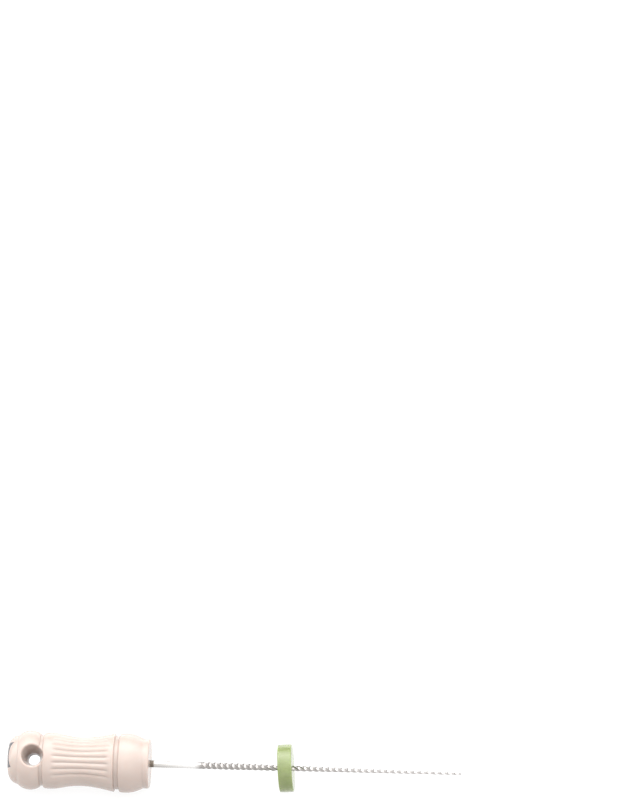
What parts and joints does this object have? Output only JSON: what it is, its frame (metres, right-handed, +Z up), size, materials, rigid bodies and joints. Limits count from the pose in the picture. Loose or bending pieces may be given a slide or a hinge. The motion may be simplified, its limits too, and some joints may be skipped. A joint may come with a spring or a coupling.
{
  "type": "endodontic file",
  "caption": "Dental root-canal hand file: ribbed moulded handle with a cross hole, twisted tapered steel blade, sliding silicone depth stop.",
  "frame": {"origin": "on the file's axis, in the handle's flat front face, where the steel comes out and lengths are counted from", "axes": "+X along the file towards its tip, handle towards -X; +Z up as the file lies on its handle"},
  "size_m": [0.0306, 0.004, 0.004],
  "materials": {
    "handle_plastic": "semi-gloss moulded, ivory white",
    "stainless_steel": "bright ground and twisted wire",
    "silicone": "translucent satin, yellow-green"
  },
  "bodies": {
    "file_body": {"handle": "handle_plastic", "steel_file": "stainless_steel"},
    "stop": {"silicone_stop": "silicone"}
  },
  "joints": [
    {"name": "stop_slide", "type": "slide", "parent": "file_body", "child": "stop", "axis": [1, 0, 0], "range_m": [-0.0085, 0.011]}
  ]
}
